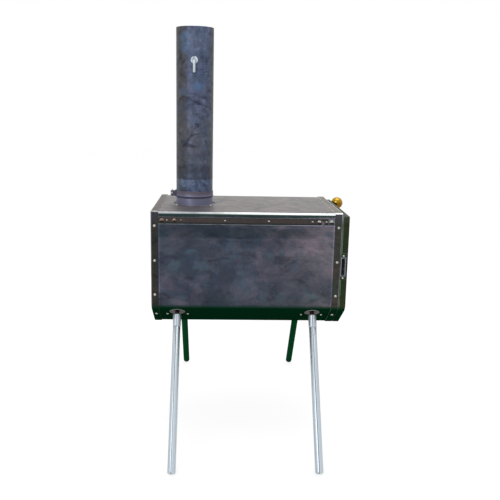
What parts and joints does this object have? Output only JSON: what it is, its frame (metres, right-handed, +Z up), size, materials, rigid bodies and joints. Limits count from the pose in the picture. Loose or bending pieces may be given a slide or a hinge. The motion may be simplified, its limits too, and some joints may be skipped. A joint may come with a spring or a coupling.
{
  "type": "wood stove",
  "caption": "Portable sheet-steel wood stove with a bevelled box firebox, hinged front door, splayed tube legs and a flue pipe with a damper.",
  "frame": {"origin": "centre of the whole object's box, at the height of the feet", "axes": "+X towards the door, +Y across to the latch side, +Z up along the flue"},
  "size_m": [0.5643, 0.79, 1.1135],
  "materials": {
    "blued_steel": "mottled heat-blued mill scale",
    "cap_steel": "dark brown mill scale",
    "plate_steel": "grey-brown mill scale, worn bright at the bend",
    "pipe_steel": "smooth heat-blued sheet",
    "bright_steel": "bright zinc plate",
    "dull_zinc": "dull zinc plate",
    "brass": "polished"
  },
  "bodies": {
    "stove": {"body_shell": "blued_steel", "top_plate": "plate_steel", "rear_end_cap": "cap_steel", "front_end_cap": "cap_steel", "front_frame": "cap_steel", "strike_plate_near": "blued_steel", "strike_plate_far": "blued_steel", "slot_cover": "cap_steel", "frame_hinge_upper": "cap_steel", "frame_hinge_lower": "cap_steel", "hinge_pin_upper": "dull_zinc", "hinge_pin_lower": "dull_zinc", "flue_collar": "pipe_steel", "side_rail_near": "cap_steel", "side_rail_far": "cap_steel", "leg_ferrule_rear_near": "bright_steel", "leg_bolt_rear_near": "cap_steel", "leg_washer_rear_near": "cap_steel", "leg_plate_rear_near": "cap_steel", "leg_ferrule_rear_far": "bright_steel", "leg_bolt_rear_far": "cap_steel", "leg_washer_rear_far": "cap_steel", "leg_plate_rear_far": "cap_steel", "leg_ferrule_front_near": "bright_steel", "leg_bolt_front_near": "cap_steel", "leg_washer_front_near": "cap_steel", "leg_plate_front_near": "cap_steel", "leg_ferrule_front_far": "bright_steel", "leg_bolt_front_far": "cap_steel", "leg_washer_front_far": "cap_steel", "leg_plate_front_far": "cap_steel"},
    "door": {"door_plate": "blued_steel", "door_baffle": "cap_steel", "door_hinge_upper": "cap_steel", "door_hinge_lower": "cap_steel", "draft_stud_near": "dull_zinc", "draft_stud_far": "dull_zinc", "latch_bolt": "dull_zinc", "latch_nut": "dull_zinc", "latch_washer": "dull_zinc", "baffle_spacer_1": "dull_zinc", "baffle_spacer_2": "dull_zinc", "baffle_spacer_3": "dull_zinc", "baffle_spacer_4": "dull_zinc"},
    "latch": {"latch_lever": "blued_steel", "latch_knob": "brass"},
    "draft": {"draft_shutter": "cap_steel"},
    "flue": {"flue_pipe": "pipe_steel", "clamp_band": "cap_steel", "clamp_screw": "dull_zinc", "damper_washer": "bright_steel"},
    "wing_nut": {"clamp_wing_nut": "dull_zinc"},
    "damper": {"damper_plate": "cap_steel", "damper_rod": "bright_steel", "damper_screw_near": "dull_zinc", "damper_screw_far": "dull_zinc"},
    "leg_rear_near": {"leg_tube_rear_near": "bright_steel"},
    "leg_rear_far": {"leg_tube_rear_far": "bright_steel"},
    "leg_front_near": {"leg_tube_front_near": "bright_steel"},
    "leg_front_far": {"leg_tube_front_far": "bright_steel"}
  },
  "joints": [
    {"name": "door_swing", "type": "hinge", "parent": "stove", "child": "door", "pos_m": [0.23375, -0.1495, 0.49], "axis": [0, 0, -1], "range_deg": [0, 110]},
    {"name": "latch_turn", "type": "hinge", "parent": "door", "child": "latch", "pos_m": [0.23225, 0.0985, 0.49], "axis": [1, 0, 0], "range_deg": [0, 45]},
    {"name": "draft_slide", "type": "slide", "parent": "door", "child": "draft", "axis": [0, 1, 0], "range_m": [0, 0.013]},
    {"name": "flue_lift", "type": "slide", "parent": "stove", "child": "flue", "axis": [0, 0, 1], "range_m": [0, 0.06]},
    {"name": "damper_turn", "type": "hinge", "parent": "flue", "child": "damper", "pos_m": [-0.17325, 0, 1.026], "axis": [0, 1, 0], "continuous": true},
    {"name": "wing_nut_turn", "type": "hinge", "parent": "flue", "child": "wing_nut", "pos_m": [-0.23705, 0, 0.6618], "axis": [0, 1, 0], "continuous": true},
    {"name": "leg_rear_near_slide", "type": "slide", "parent": "stove", "child": "leg_rear_near", "axis": [0, -0.5736, -0.8192], "range_m": [0, 0.028]},
    {"name": "leg_rear_far_slide", "type": "slide", "parent": "stove", "child": "leg_rear_far", "axis": [0, 0.5736, -0.8192], "range_m": [0, 0.028]},
    {"name": "leg_front_near_slide", "type": "slide", "parent": "stove", "child": "leg_front_near", "axis": [0, -0.5736, -0.8192], "range_m": [0, 0.028]},
    {"name": "leg_front_far_slide", "type": "slide", "parent": "stove", "child": "leg_front_far", "axis": [0, 0.5736, -0.8192], "range_m": [0, 0.028]}
  ]
}
